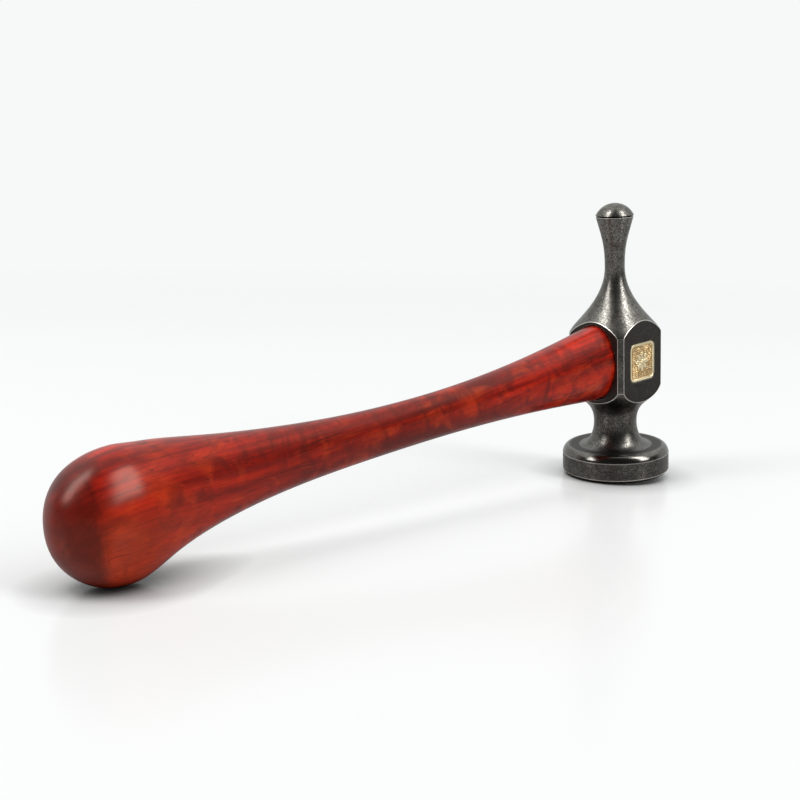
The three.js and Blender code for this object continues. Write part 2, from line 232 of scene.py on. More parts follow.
# The groove under the dome, and a little beside it, is painted fully dark: part soot, part painted shade.
groove_middle = dome_base - groove_width / 2
off_groove = np.abs(peen_heights - groove_middle)
peen_worn = np.where(peen_heights < groove_middle, peen_worn, 0)
peen_soot_and_shade = np.where(off_groove < groove_width / 2 + groove_shade_margin, 1, peen_soot_and_shade)

# Neck and taper between the two waists, each going straight on past the block's corner
corner_lead = np.array([math.sin(shoulder_turn), math.cos(shoulder_turn)])
lower_corner = np.array([corner_radius, block_bottom])
upper_corner = np.array([corner_radius, block_top])
taper_length = peen_waist_height - block_top
neck_curve = np.vstack([
    bezier((waist_radius, waist_height),
           (waist_radius, waist_height + neck_waist_pull_share * neck_upper_length),
           lower_corner - corner_lead * neck_shoulder_pull_share * neck_upper_length,
           lower_corner),
    lower_corner + corner_lead * head_height,
])
taper_curve = np.vstack([
    upper_corner + corner_lead * (1, -1) * head_height,
    bezier(upper_corner,
           upper_corner + corner_lead * (-1, 1) * peen_shoulder_pull_share * taper_length,
           (peen_waist_radius, peen_waist_height - peen_taper_pull_share * taper_length),
           (peen_waist_radius, peen_waist_height)),
])


def turned_radius(height):
    """Radius of the turned blank between the waists: the least of the neck's, the block's and the
    taper's, rounded where they meet."""
    neck = np.interp(height, neck_curve[:, 1], neck_curve[:, 0])
    taper = np.interp(height, taper_curve[:, 1], taper_curve[:, 0])
    return smooth_min(smooth_min(corner_radius, neck, edge_width / 2), taper, edge_width / 2)


# Columns of the grid are closer beside the upright edges where the flats meet the round corners
edge_turn = math.acos(half_flats / corner_radius)
edge_side = half_flats * math.tan(edge_turn)
beside_edge = np.array([0.35, 0.18, 0.08])
next_inside, next_outside = 0.65, 0.62
flat_sides = np.append(np.linspace(0, edge_side - next_inside, 17), edge_side - beside_edge)
corner_turns = edge_turn + np.append(0, np.append(beside_edge[::-1], next_outside)) / corner_radius
half_quarter = np.append(np.arctan(flat_sides / half_flats), corner_turns)
quarter = np.concatenate([[-math.pi / 4], -half_quarter[:0:-1], half_quarter])
turns = (np.arange(4)[:, None] * math.pi / 2 + quarter).ravel()
from_flat = np.tile(quarter, 4)

# Rows between the waists follow the curved top and bottom edges of the flats
flat_reach = np.minimum(half_flats / np.cos(from_flat), corner_radius)
flat_bottom = np.interp(flat_reach, neck_curve[:-1, 0], neck_curve[:-1, 1])
flat_top = np.interp(-flat_reach, -taper_curve[1:, 0], taper_curve[1:, 1])
beside = np.array([0.09, 0.2, 0.38, 0.65])[:, None]
lower_shares, middle_shares, upper_shares = (np.linspace(0, 1, rows)[:, None] for rows in (22, 20, 32))
lower_rows = waist_height + (flat_bottom - beside[-1] - waist_height) * lower_shares[1:]
middle_rows = flat_bottom + beside[-1] + (flat_top - flat_bottom - 2 * beside[-1]) * middle_shares
upper_rows = flat_top + beside[-1] + (peen_waist_height - flat_top - beside[-1]) * upper_shares[:-1]
block_heights = np.vstack([
    lower_rows, flat_bottom - beside[-2::-1], flat_bottom, flat_bottom + beside[:-1], middle_rows,
    flat_top - beside[-2::-1], flat_top, flat_top + beside[:-1], upper_rows,
])
window_bottom = len(foot_radii) + len(lower_rows) + 2 * len(beside) - 1
window_top = window_bottom + len(middle_rows) - 1


def block_surface(heights):
    """Radius of each point between the waists, how worn it is and whether it lies on a flat. The
    radius is the lesser of the turned one and the way out to the flat, half_flats / cos(turn). How
    fast the two part along the surface turns their difference into the distance from the edge,
    which is worn and rounded."""
    probe, least_parting = 0.05, 0.15
    turned = turned_radius(heights)
    ground = half_flats / np.cos(from_flat)
    slope = (turned_radius(heights + probe) - turned_radius(heights - probe)) / (2 * probe)
    parting = np.maximum(np.hypot(np.sin(from_flat), slope), least_parting)
    worn = np.clip(1.4 - 1.4 * np.abs(turned - ground) / parting / worn_width, 0, 1)
    for corner_height in (block_bottom, block_top):
        off_corner = np.abs(heights - corner_height) / worn_width
        worn = np.maximum(worn, np.where(turned < ground, np.clip(1.2 - off_corner, 0, 1) * corner_wear, 0))
    flat = np.clip((turned - ground) / parting / worn_width, 0, 1)
    return smooth_min(turned, ground, edge_width * parting), worn, flat


block_radii, block_worn, block_flat = block_surface(block_heights)
around = np.ones_like(turns)
head_radii = np.vstack([foot_radii * around, block_radii, peen_radii * around])
head_heights = np.vstack([foot_heights * around, block_heights, peen_heights * around])
head_marks = np.stack([
    np.vstack([foot_worn * around, block_worn, peen_worn * around]),
    np.vstack([foot_soot_and_shade * around, neck_soot_and_shade * (block_heights < block_top), peen_soot_and_shade * around]),
    np.vstack([ledge * around, block_flat, 0 * peen_soot_and_shade * around]),
    np.vstack([on_rim * around, 0 * block_worn, 0 * peen_soot_and_shade * around]),
], axis=-1)
head_grid = np.stack([head_radii * np.cos(turns), head_radii * np.sin(turns), head_heights], axis=-1)


def grid_faces(rows, columns, first=0):
    """Four corners of each face of a grid of rows by columns, whose last column joins its first."""
    index = first + np.arange(rows * columns).reshape(rows, columns)
    index = np.hstack([index, index[:, :1]])
    return np.stack([index[:-1, :-1], index[:-1, 1:], index[1:, 1:], index[1:, :-1]], axis=-1)


def oval_reach(half_width, half_height):
    """Way from the middle of an oval to its rim: a * b / sqrt((b cos turn)^2 + (a sin turn)^2)."""
    def reach(turn):
        return half_width * half_height / np.hypot(half_height * np.cos(turn), half_width * np.sin(turn))
    return reach


def square_reach(half_side, corner):
    """Way from the middle of a rounded square to its rim: to the side, half_side / max(cos, sin),
    or where that passes the side's end, to the round corner, as the far root of its circle."""
    def reach(turn):
        more = np.maximum(np.abs(np.cos(turn)), np.abs(np.sin(turn)))
        less = np.minimum(np.abs(np.cos(turn)), np.abs(np.sin(turn)))
        straight = half_side - corner
        middle = straight * (more + less)
        to_corner = middle + np.sqrt(np.maximum(middle**2 - 2 * straight**2 + corner**2, 0))
        return np.where(half_side * less / more <= straight, half_side / more, to_corner)
    return reach


# Openings are cut inside a window of the grid that lies within a flat's edges. Each is a list of
# rings: a way out from its middle, what is added to that, a share of it, the depth, and the wear.
window_side = int(np.argmin(np.abs(quarter + math.atan((edge_side - beside_edge[0]) / half_flats))))
seat = oval_reach(shoulder_half_height * width_share + seat_gap, shoulder_half_height + seat_gap)
eye = oval_reach(eye_half_width, eye_half_height)
pocket = square_reach(badge_half_side + pocket_gap, badge_corner_radius + pocket_gap)
pocket_depth = badge_sink + badge_thickness + pocket_gap
eye_rings = [
    (eye, 0.12, 1, 0, 0.3), (eye, 0.04, 1, 0.03, 1), (eye, 0, 1, 0.12, 0.3), (eye, 0, 1, 2, 0),
    (eye, 0, 1, half_flats, 0)]
seat_rings = [
    (seat, 0.1, 1, 0, 0.4), (seat, 0.03, 1, 0.03, 1), (seat, 0, 1, 0.1, 0.4), (seat, 0, 1, 0.4, 0),
    (seat, 0, 1, seat_depth, 0), (eye, 1, 1, seat_depth, 0), (eye, 0, 1, seat_depth, 0),
    (eye, 0, 1, 4, 0), (eye, 0, 1, half_flats, 0)]
pocket_rings = [
    (pocket, 0.1, 1, 0, 0.2), (pocket, 0.03, 1, 0.03, 0.5), (pocket, 0, 1, 0.1, 0.2),
    (pocket, 0, 1, 0.6, 0), (pocket, 0, 1, pocket_depth, 0), (pocket, 0, 0.5, pocket_depth, 0),
    (pocket, 0, 0, pocket_depth, 0)]
badge_height = block_middle + badge_rise
openings = [(0, eye_height, eye_rings), (2, eye_height, seat_rings), (3, badge_height, pocket_rings)]


def opening(side_number, centre_height, rings, bridge=7):
    """Rings of points from a window's edge to an opening, and the window's first and last column.
    Each point keeps the heading it has on the window's edge, seen from the opening's middle, and
    goes in straight steps to the first ring and from ring to ring after it."""
    index = np.arange(head_grid[..., 0].size).reshape(head_grid.shape[:2])
    left = side_number * len(quarter) + window_side
    right = (side_number + 1) * len(quarter) - window_side + 1
    loop = np.concatenate([
        index[window_bottom, left:right], index[window_bottom:window_top, right],
        index[window_top, right:left:-1], index[window_top:window_bottom:-1, left],
    ])
    turn = side_number * math.pi / 2
    outwards = np.array([math.cos(turn), math.sin(turn), 0])
    across = np.array([-math.sin(turn), math.cos(turn), 0])
    edge = head_grid.reshape(-1, 3)[loop]
    side, rise = edge @ across, edge[:, 2] - centre_height
    heading = np.arctan2(rise, side)
    start = np.hypot(side, rise)
    shares = np.linspace(0, 1, bridge)[:-1, None]
    ways = np.array([reach(heading) * size + more for reach, more, size, depth, wear in rings])
    ways = np.vstack([start + (ways[0] - start) * shares, ways])
    depths = np.array([0] * (bridge - 1) + [ring[3] for ring in rings])[:, None]
    wears = np.array([0] * (bridge - 1) + [ring[4] for ring in rings])[:, None]
    points = (
        outwards * (half_flats - depths)[..., None]
        + across * (ways * np.cos(heading))[..., None]
        + np.array([0, 0, 1]) * (centre_height + ways * np.sin(heading))[..., None]
    )
    # Inside each opening, deeper than 0.2 mm, the soot mark is set to full, which paints the steel dark
    # there: part soot, part painted shade.
    none = 0 * ways
    return points, np.stack([none + wears, none + (depths > 0.2), none + 1, none], axis=-1), left, right


def closed_mesh(name, points, faces=None, marks=None, mark_names=()):
    """A mesh of points and faces, or of a grid of points where no faces are given, with its double
    points joined and its faces turned outwards. Each mark is one number a point, which a material
    reads by its name."""
    if faces is None:
        faces = grid_faces(*points.shape[:2])
    mesh = bpy.data.meshes.new(name)
    mesh.from_pydata(to_row(points.reshape(-1, 3)).tolist(), [], faces.reshape(-1, 4).tolist())
    for number, mark_name in enumerate(mark_names):
        values = marks.reshape(-1, len(mark_names))[:, number].astype(np.float32)
        mesh.attributes.new(mark_name, "FLOAT", "POINT").data.foreach_set("value", values)
    shape = bmesh.new()
    shape.from_mesh(mesh)
    bmesh.ops.remove_doubles(shape, verts=shape.verts, dist=1e-6)
    bmesh.ops.recalc_face_normals(shape, faces=shape.faces)
    shape.to_mesh(mesh)
    shape.free()
    mesh.shade_smooth()
    return mesh


def make_piece(name, mesh, material, node):
    """An object of a mesh that rides on the hammer and stands for one of its CAD nodes."""
    mesh.materials.append(material)
    piece = bpy.data.objects.new(name, mesh)
    bpy.context.scene.collection.objects.link(piece)
    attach(piece, "root")
    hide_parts(node)
    return piece


def linear(colour):
    """A colour written as sRGB hex, as linear red, green, blue and an alpha of 1."""
    parts = [int(colour[i:i + 2], 16) / 255 for i in (1, 3, 5)]
    return tuple(c / 12.92 if c <= 0.04045 else ((c + 0.055) / 1.055) ** 2.4 for c in parts) + (1,)


def new_material(name):
    """A material with an empty node tree."""
    material = bpy.data.materials.new(name)
    material.use_nodes = True
    material.node_tree.nodes.clear()
    return material


def add(material, kind, inputs, output=0, **settings):
    """Adds a node with its settings and gives back one of its outputs. Each input, by name or
    number, is a value or a link."""
    made = material.node_tree.nodes.new(kind)
    for name, value in settings.items():
        setattr(made, name, value)
    for name, value in inputs.items():
        if isinstance(value, bpy.types.NodeSocket):
            material.node_tree.links.new(value, made.inputs[name])
        else:
            made.inputs[name].default_value = value
    return made.outputs[output] if len(made.outputs) else None


def tumbled_steel():
    """Carbon steel, turned, tumbled with stones and blackened: a metal with a dark oxide skin in
    grains of about a quarter of a millimetre, cloudy over some millimetres, bare where it is worn."""
    grain, blotch_size, cloud_size = 0.24, 0.7, 3.5
    steel = new_material("tumbled_blackened_steel")
    place = add(steel, "ShaderNodeTexCoord", {}, "Object")
    worn = add(steel, "ShaderNodeAttribute", {}, "Fac", attribute_name="worn")
    soot_and_shade = add(steel, "ShaderNodeAttribute", {}, "Fac", attribute_name="soot_and_shade")
    flat = add(steel, "ShaderNodeAttribute", {}, "Fac", attribute_name="flat")
    polished = add(steel, "ShaderNodeAttribute", {}, "Fac", attribute_name="polished")
    fine = add(steel, "ShaderNodeTexNoise", {
        "Vector": place, "Scale": 1 / (grain * millimetre), "Detail": 2, "Roughness": 0.6})
    blotch = add(steel, "ShaderNodeTexNoise", {
        "Vector": place, "Scale": 1 / (blotch_size * millimetre), "Detail": 2, "Roughness": 0.5})
    cloud = add(steel, "ShaderNodeTexNoise", {
        "Vector": place, "Scale": 1 / (cloud_size * millimetre), "Detail": 3, "Roughness": 0.55})
    speck = add(steel, "ShaderNodeMath", {0: blotch, 1: 0.25, 2: fine}, operation="MULTIPLY_ADD")
    bare = add(steel, "ShaderNodeMapRange", {
        "Value": speck, "From Min": 0.5, "From Max": 0.79, "To Min": 0, "To Max": 1})
    skin = add(steel, "ShaderNodeMix", {
        0: bare, 6: linear("#373633"), 7: linear("#a4a19a")}, 2, data_type="RGBA")
    shade = add(steel, "ShaderNodeMapRange", {
        "Value": cloud, "From Min": 0.4, "From Max": 0.65, "To Min": 0, "To Max": 0.4})
    clouded = add(steel, "ShaderNodeMix", {0: shade, 6: skin, 7: linear("#3c3632")}, 2, data_type="RGBA")
    dull = add(steel, "ShaderNodeMath", {0: flat, 1: 0.85}, operation="MULTIPLY")
    ground = add(steel, "ShaderNodeMix", {0: dull, 6: clouded, 7: linear("#383431")}, 2, data_type="RGBA")
    # Soot and painted shade: inward corners, the groove, the foot's wall, the neck and the insides of the
    # openings go towards near black.
    soot_and_shade_mixed = add(steel, "ShaderNodeMix", {0: soot_and_shade, 6: ground, 7: linear("#100f0e")}, 2, data_type="RGBA")
    rub = add(steel, "ShaderNodeMath", {0: fine, 1: 0.8, 2: worn}, operation="MULTIPLY_ADD")
    line = add(steel, "ShaderNodeMapRange", {
        "Value": rub, "From Min": 0.65, "From Max": 1.15, "To Min": 0, "To Max": 1})
    rim_share = add(steel, "ShaderNodeMath", {0: polished, 1: 0.6}, operation="MULTIPLY")
    rim = add(steel, "ShaderNodeMix", {0: rim_share, 6: soot_and_shade_mixed, 7: linear("#6a6763")}, 2, data_type="RGBA")
    colour = add(steel, "ShaderNodeMix", {0: line, 6: rim, 7: linear("#e0dcd4")}, 2, data_type="RGBA")
    rough = add(steel, "ShaderNodeMapRange", {
        "Value": speck, "From Min": 0.44, "From Max": 0.8, "To Min": 0.36, "To Max": 0.26})
    rough_flat = add(steel, "ShaderNodeMath", {0: flat, 1: 0.16, 2: rough}, operation="MULTIPLY_ADD")
    rough_rim = add(steel, "ShaderNodeMath", {
        0: polished, 1: -0.13, 2: rough_flat}, operation="MULTIPLY_ADD")
    bump = add(steel, "ShaderNodeBump", {"Strength": 0.6, "Distance": 0.02 * millimetre, "Height": speck})
    shader = add(steel, "ShaderNodeBsdfPrincipled", {
        "Base Color": colour, "Metallic": 1.0, "Roughness": rough_rim, "Normal": bump})
    add(steel, "ShaderNodeOutputMaterial", {"Surface": shader})
    return steel


head_faces = grid_faces(*head_grid.shape[:2])
head_points, all_marks, opening_faces = [head_grid.reshape(-1, 3)], [head_marks.reshape(-1, 4)], []
for side_number, centre_height, rings in openings:
    ring_points, ring_marks, left, right = opening(side_number, centre_height, rings)
    head_faces[window_bottom:window_top, left:right] = -1
    ring_faces = grid_faces(*ring_points.shape[:2], first=sum(map(len, head_points)))
    opening_faces.append(ring_faces.reshape(-1, 4))
    head_points.append(ring_points.reshape(-1, 3))
    all_marks.append(ring_marks.reshape(-1, 4))
head_faces = head_faces.reshape(-1, 4)
head_faces = np.vstack([head_faces[head_faces[:, 0] >= 0], *opening_faces])
head_mesh = closed_mesh("steel_head", np.vstack(head_points), head_faces, np.vstack(all_marks),
                        ("worn", "soot_and_shade", "flat", "polished"))
make_piece("steel_head", head_mesh, tumbled_steel(), "head")

# Handle: one piece of padauk, a red hardwood with open pores, turned and shaved to an oval, sanded
# and polished with oil and wax. Its tenon goes through the eye, sawn and split for its two wedges.
handle_length = 174.7
shoulder_pull_share = 0.076
grip_at = 72
grip_half_height = 6.05
grip_forward_pull_share = 0.549
grip_back_pull_share = 0.756
bulb_half_height = 15.2
bulb_length = 16.3
bulb_pull_share = 0.089
bulb_oval_power = 2.14
butt_side_power = 2.12
butt_plan_share = 1.2
ridge_round_share = 0.22
grip_drop = 3.5
grip_drop_pull_share = 0.571
grip_level_at = 105
grip_level_pull_share = 0.162
bulb_drop = 3
bulb_drop_pull_share = 0.952
bulb_level_before = 7.5
bulb_level_pull_share = 0.425
shoulder_round = 0.35
tenon_stand = 0.8
tenon_end_round = 0.2
tenon_gap = 0.06
layer_normal = (0.058, -0.745, -0.666)
dark_middle = -18

butt_at = half_flats + handle_length
bulb_at = butt_at - bulb_length
grip_place = half_flats + grip_at
grip_to_bulb = bulb_at - grip_place
level_at = half_flats + grip_level_at
bulb_level_at = butt_at - bulb_level_before
level_to_bulb = bulb_level_at - level_at
grip_level = eye_height - grip_drop
bulb_level = grip_level - bulb_drop
shoulder_face = half_flats - seat_depth + seat_gap
tenon_end = half_flats + tenon_stand
height_curve = np.vstack([
    bezier((half_flats, shoulder_half_height),
           (half_flats + shoulder_pull_share * grip_at, shoulder_half_height),
           (grip_place - grip_forward_pull_share * grip_at, grip_half_height),
           (grip_place, grip_half_height)),
    bezier((grip_place, grip_half_height),
           (grip_place + grip_back_pull_share * grip_to_bulb, grip_half_height),
           (bulb_at - bulb_pull_share * grip_to_bulb, bulb_half_height),
           (bulb_at, bulb_half_height))[1:],
])
level_curve = np.vstack([
    bezier((half_flats, eye_height),
           (half_flats + grip_drop_pull_share * grip_level_at, grip_level),
           (level_at - grip_level_pull_share * grip_level_at, grip_level),
           (level_at, grip_level)),
    bezier((level_at, grip_level),
           (level_at + bulb_drop_pull_share * level_to_bulb, grip_level),
           (bulb_level_at - bulb_level_pull_share * level_to_bulb, bulb_level),
           (bulb_level_at, bulb_level))[1:],
])
round_turns = np.linspace(0, 2 * math.pi, 144, endpoint=False)


def handle_rings(along, half_height, half_width):
    """Ovals round the handle's middle line: the cosine and sine of each turn, with their sizes
    raised to 2/power. The power grows from an ellipse's 2 to the bulb's, with a smooth step,
    3t^2 - 2t^3."""
    level = np.interp(along, level_curve[:, 0], level_curve[:, 1])[:, None]
    t = np.clip((along - half_flats) / (bulb_at - half_flats), 0, 1)[:, None]
    power = 2 + (bulb_oval_power - 2) * (3 * t**2 - 2 * t**3)
    side, rise = np.cos(round_turns), np.sin(round_turns)
    across = half_width[:, None] * np.sign(side) * np.abs(side) ** (2 / power)
    up = level + half_height[:, None] * np.sign(rise) * np.abs(rise) ** (2 / power)
    return np.stack([-along[:, None] + 0 * across, across, up], axis=-1)


def oval_rings(rings, half_width, half_height):
    """Ovals round the eye's middle line, given as (x, share of the size) rings."""
    place, size = np.array(rings, dtype=float).T[..., None]
    across = size * half_width * np.cos(round_turns)
    up = eye_height + size * half_height * np.sin(round_turns)
    return np.stack([place + 0 * across, across, up], axis=-1)


# From the tenon's end back through the eye, out over the shoulder's rounded edge, and on along the
# outside of the handle. At a share of the way along the butt its half height is
# (1 - share^power)^(1/power). From above, the butt is the end of a wider ellipse,
# (1 - share^2)^(1/2), that the flat cheeks cut off along a soft ridge.
tenon_grid = oval_rings(
    [(tenon_end, 0), (tenon_end, 0.5), (tenon_end, 0.97), (tenon_end - 0.3 * tenon_end_round, 0.992),
     (tenon_end - tenon_end_round, 1), (half_flats, 1), (0, 1), (-shoulder_face, 1)],
    eye_half_width - tenon_gap, eye_half_height - tenon_gap)
rim_turns = np.linspace(0, math.pi / 2, 6)
body_along = half_flats + np.linspace(0, 1, 200) ** 1.2 * (bulb_at - half_flats)
butt_share = np.cos(np.linspace(math.pi / 2, 0, 60)[1:])
along = np.concatenate([
    shoulder_face + shoulder_round * (1 - np.cos(rim_turns)), body_along,
    bulb_at + bulb_length * butt_share])
half_heights = np.concatenate([
    shoulder_half_height - shoulder_round * (1 - np.sin(rim_turns)),
    np.interp(body_along, height_curve[:, 0], height_curve[:, 1]),
    bulb_half_height * (1 - butt_share**butt_side_power) ** (1 / butt_side_power)])
half_widths = width_share * np.append(
    half_heights[:-len(butt_share)],
    bulb_half_height * smooth_min(butt_plan_share * (1 - butt_share**2) ** 0.5, 1, ridge_round_share))
handle_grid = np.concatenate([tenon_grid, handle_rings(along, half_heights, half_widths)])


def polished_padauk():
    """Padauk, sanded and waxed: heartwood from orange red to deep red in slanting growth layers, so
    streaks run along the handle, with purplish bands, dark veins, short dark pores and a satin
    polish over it. The ends of the fibres, on the butt, have drunk more oil and are darker."""
    wood = new_material("polished_padauk")
    layers = np.array(layer_normal) / np.linalg.norm(layer_normal)
    fibres = np.array([1.0, 0, 0]) - layers[0] * layers
    fibres = fibres / np.linalg.norm(fibres)
    grain_axes = np.array([fibres, np.cross(layers, fibres), layers]) @ hammer_axes
    place = add(wood, "ShaderNodeTexCoord", {}, "Object")
    lengthwise = add(wood, "ShaderNodeMapping", {
        "Vector": place, "Rotation": Matrix(grain_axes.tolist()).to_euler(), "Scale": [1 / millimetre] * 3})

    # Noises in cells of so many millimetres across the layers, in them and along the fibres
    noise = {}
    for name, (across, side, length), settings in (
            ("heart", (1.8, 6, 50), {"Detail": 3, "Roughness": 0.55, "Distortion": 0.4}),
            ("band", (5, 12, 70), {"Detail": 2, "Roughness": 0.5, "Distortion": 0.5}),
            ("flame", (6, 8, 12), {"Detail": 3, "Roughness": 0.55, "Distortion": 0.8}),
            ("figure", (8, 8, 5), {"Detail": 2, "Roughness": 0.5, "Distortion": 1.0}),
            ("vein", (4, 9, 90), {"Detail": 3, "Roughness": 0.6}),
            ("vein_patch", (6, 9, 30), {"Detail": 1}),
            ("fibre", (0.3, 0.5, 9), {"Detail": 2, "Roughness": 0.6}),
            ("pore", (0.36, 0.36, 2.2), {"Detail": 0})):
        cell = add(wood, "ShaderNodeVectorMath", {
            0: lengthwise, 1: (1 / length, 1 / side, 1 / across)}, operation="MULTIPLY")
        noise[name] = add(wood, "ShaderNodeTexNoise", {"Vector": cell, "Scale": 1.0, **settings})

    # The handle's middle is darker, and its bulb is paler low down as painted light bounced up from the
    # floor. Veins lie where a noise is 0.5
    along = add(wood, "ShaderNodeSeparateXYZ", {0: place}, "X")
    height = add(wood, "ShaderNodeSeparateXYZ", {0: place}, "Z")
    from_middle = add(wood, "ShaderNodeMath", {
        0: along, 1: dark_middle * millimetre}, operation="SUBTRACT")
    off_middle = add(wood, "ShaderNodeMath", {0: from_middle}, operation="ABSOLUTE")
    from_vein = add(wood, "ShaderNodeMath", {0: noise["vein"], 1: 0.5}, operation="SUBTRACT")
    off_vein = add(wood, "ShaderNodeMath", {0: from_vein}, operation="ABSOLUTE")

    # Each share goes from one strength to another between two values of what it follows
    share = {}
    for name, value, (low, high), (at_low, at_high) in (
            ("heart", noise["heart"], (0.34, 0.66), (0, 1)),
            ("band", noise["band"], (0.5, 0.68), (0, 0.75)),
            ("middle", off_middle, (0.02, 0.06), (0.55, 0)),
            ("flame", noise["flame"], (0.5, 0.72), (0, 0.6)),
            ("figure", noise["figure"], (0.48, 0.66), (0, 0.6)),
            ("bulb", along, (-0.05, -0.085), (0, 1)),
            ("lower_side_bounce_light", height, (0.024, 0.006), (0, 0.42)),
            ("vein_line", off_vein, (0, 0.02), (1, 0)),
            ("vein_patch", noise["vein_patch"], (0.5, 0.64), (0, 0.7)),
            ("fibre", noise["fibre"], (0.3, 0.6), (0.28, 0)),
            ("pore", noise["pore"], (0.74, 0.82), (0, 0.55))):
        share[name] = add(wood, "ShaderNodeMapRange", {
            "Value": value, "From Min": low, "From Max": high, "To Min": at_low, "To Max": at_high})
    # Painted bounce light: low on the bulb the wood turns a paler orange.
    painted_bounce_light = add(wood, "ShaderNodeMath", {0: share["bulb"], 1: share["lower_side_bounce_light"]}, operation="MULTIPLY")
    vein = add(wood, "ShaderNodeMath", {0: share["vein_line"], 1: share["vein_patch"]}, operation="MULTIPLY")
    facing = add(wood, "ShaderNodeVectorMath", {
        0: add(wood, "ShaderNodeNewGeometry", {}, "Normal"), 1: grain_axes[0].tolist()}, "Value",
        operation="DOT_PRODUCT")
    end_on = add(wood, "ShaderNodeMath", {0: facing}, operation="ABSOLUTE")
    end_grain = add(wood, "ShaderNodeMapRange", {
        "Value": end_on, "From Min": 0.2, "From Max": 0.5, "To Min": 0, "To Max": 1},
        interpolation_type="SMOOTHSTEP")
    end_share = add(wood, "ShaderNodeMath", {0: end_grain, 1: 0.72}, operation="MULTIPLY")
    colour = linear("#7e0a04")
    for tint_share, tint in (
            (share["heart"], "#cc260b"), (share["band"], "#560a07"), (share["middle"], "#4a0603"),
            (share["flame"], "#cf3f12"), (share["figure"], "#5c0a05"), (painted_bounce_light, "#de4712"),
            (vein, "#300603"), (share["fibre"], "#4e0804"), (share["pore"], "#300603"),
            (end_share, "#430805")):
        colour = add(wood, "ShaderNodeMix", {
            0: tint_share, 6: colour, 7: linear(tint)}, 2, data_type="RGBA")
    rough = add(wood, "ShaderNodeMapRange", {
        "Value": end_grain, "From Min": 0, "From Max": 1, "To Min": 0.26, "To Max": 0.3})
    bump = add(wood, "ShaderNodeBump", {
        "Strength": 0.2, "Distance": 0.02 * millimetre, "Height": noise["fibre"]})
    shader = add(wood, "ShaderNodeBsdfPrincipled", {
        "Base Color": colour, "Roughness": rough, "IOR": 1.48, "Specular Tint": linear("#ffd2c2"),
        "Normal": bump})
    add(wood, "ShaderNodeOutputMaterial", {"Surface": shader})
    return wood


def cut_away(piece, cutters):
    """Cuts closed meshes out of a piece, and removes them."""
    for cutter_mesh in cutters:
        cutter = bpy.data.objects.new("cutter", cutter_mesh)
        bpy.context.scene.collection.objects.link(cutter)
        cut = piece.modifiers.new("cut", "BOOLEAN")
        cut.object = cutter
        cut.solver = "EXACT"
        graph = bpy.context.evaluated_depsgraph_get()
        piece.data = bpy.data.meshes.new_from_object(piece.evaluated_get(graph))
        piece.modifiers.clear()
        bpy.data.objects.remove(cutter)
    piece.data.set_sharp_from_angle(angle=math.radians(35))


wedge_length = 15
wedge_mouth = 2.6
wedge_tip = 0.8
ring_radius = 3.2
ring_wall = 0.9
ring_length = 7
ring_sink = 0.25
wedge_gap = 0.05
overrun = 2


def wedge_rings(places, grow, half_height):
    """Rings round the wooden wedge, as (x, share of the size) rings. Its half thickness grows
    evenly from the tip to the mouth, and its upper and lower edges follow the tenon's oval."""
    sides = np.linspace(-1, 1, 25)
    ends = np.linspace(-1, 1, 9)
    across = np.concatenate([ends[:-1], 0 * sides[:-1] + 1, -ends[:-1], 0 * sides[:-1] - 1])
    up = np.concatenate([0 * ends[:-1] + 1, -sides[:-1], 0 * ends[:-1] - 1, sides[:-1]])
    place, size = np.array(places, dtype=float).T[..., None]
    slope = (wedge_mouth - wedge_tip) / wedge_length
    half = wedge_tip / 2 + grow + slope * (place - tenon_end + wedge_length) / 2
    side = across * half
    top = half_height * np.sqrt(1 - np.minimum(side / eye_half_width, 1) ** 2)
    return np.stack([place + 0 * side, side * size, eye_height + up * top * size], axis=-1)


def ring_round(profile, steps):
    """A ring about the middle line of the eye: each (radius, x) point of a closed outline, carried
    round in a circle."""
    turn = np.linspace(0, 2 * math.pi, steps, endpoint=False)
    radius, place = np.vstack([profile, profile[:1]]).T[..., None]
    across, up = radius * np.cos(turn), eye_height + radius * np.sin(turn)
    return np.stack([place + 0 * turn, across, up], axis=-1)


kerf_tip = tenon_end - wedge_length - wedge_gap
kerf_mouth = tenon_end + overrun
kerf_grid = wedge_rings(
    [(kerf_tip, 0), (kerf_tip, 1), (kerf_mouth, 1), (kerf_mouth, 0)], wedge_gap, eye_half_height + overrun)
slot_inner = ring_radius - ring_wall - wedge_gap
slot_outer = ring_radius + wedge_gap
slot_bottom = tenon_end - ring_sink - ring_length - wedge_gap
slot_profile = np.array([
    (slot_inner, slot_bottom), (slot_outer, slot_bottom),
    (slot_outer, kerf_mouth), (slot_inner, kerf_mouth)])
slot_grid = ring_round(slot_profile, 64)
handle_mesh = closed_mesh("wooden_handle", handle_grid)
handle = make_piece("wooden_handle", handle_mesh, polished_padauk(), "handle")
cut_away(handle, [closed_mesh("kerf", kerf_grid), closed_mesh("slot", slot_grid)])

# Wooden wedge: a hornbeam wedge glued into the tenon's saw cut and trimmed flush, so its end grain
# shows as a pale band across the tenon's end.
end_grain_size = 0.3
wedge_end_round = 0.1
wedge_ring_step = 5
hornbeam = new_material("hornbeam_end_grain")
wedge_place = add(hornbeam, "ShaderNodeTexCoord", {}, "Object")
wedge_noise = add(hornbeam, "ShaderNodeTexNoise", {
    "Vector": wedge_place, "Scale": 1 / (end_grain_size * millimetre), "Detail": 3, "Roughness": 0.6})
wedge_share = add(hornbeam, "ShaderNodeMapRange", {
    "Value": wedge_noise, "From Min": 0.35, "From Max": 0.65, "To Min": 0, "To Max": 1})
wedge_colour = add(hornbeam, "ShaderNodeMix", {
    0: wedge_share, 6: linear("#8a5a2c"), 7: linear("#b98750")}, 2, data_type="RGBA")
wedge_bump = add(hornbeam, "ShaderNodeBump", {
    "Strength": 0.3, "Distance": 0.03 * millimetre, "Height": wedge_noise})
